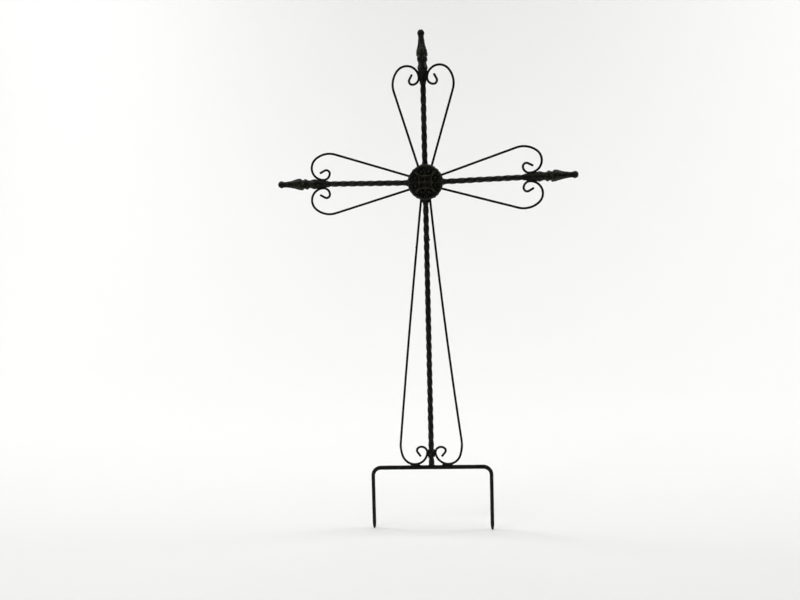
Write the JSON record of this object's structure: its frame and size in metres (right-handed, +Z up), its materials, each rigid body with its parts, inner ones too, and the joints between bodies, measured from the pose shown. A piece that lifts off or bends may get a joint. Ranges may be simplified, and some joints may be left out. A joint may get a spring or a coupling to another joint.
{
  "type": "wrought iron cross",
  "caption": "Tall slim Latin cross of black painted iron for a grave: twisted square bars, scroll wires, pointed finials, a round cast rosette and a two-pronged fork for the soil.",
  "frame": {"origin": "on the ground line, under the middle of the fork's cross rod, in the plane of the bars", "axes": "+Z up along the upright bar, +X to the right along the side arms, -Y out of the carved face of the rosette"},
  "size_m": [0.7288, 0.0359, 1.2188],
  "materials": {
    "painted_bar": "satin black paint over twisted square iron bar, slightly uneven",
    "painted_casting": "satin black paint over sand cast iron, faintly brown in the hollows",
    "painted_wire": "satin black paint over drawn round wire",
    "painted_rod": "satin black paint over round rod, scuffed towards the prong tips"
  },
  "bodies": {
    "root": {"vertical_bar": "painted_bar", "left_arm_bar": "painted_bar", "right_arm_bar": "painted_bar", "top_finial": "painted_casting", "left_finial": "painted_casting", "right_finial": "painted_casting", "rosette": "painted_casting", "top_left_scroll": "painted_wire", "top_right_scroll": "painted_wire", "left_upper_scroll": "painted_wire", "left_lower_scroll": "painted_wire", "right_upper_scroll": "painted_wire", "right_lower_scroll": "painted_wire", "bottom_left_scroll": "painted_wire", "bottom_right_scroll": "painted_wire", "ground_fork": "painted_rod"}
  },
  "joints": []
}
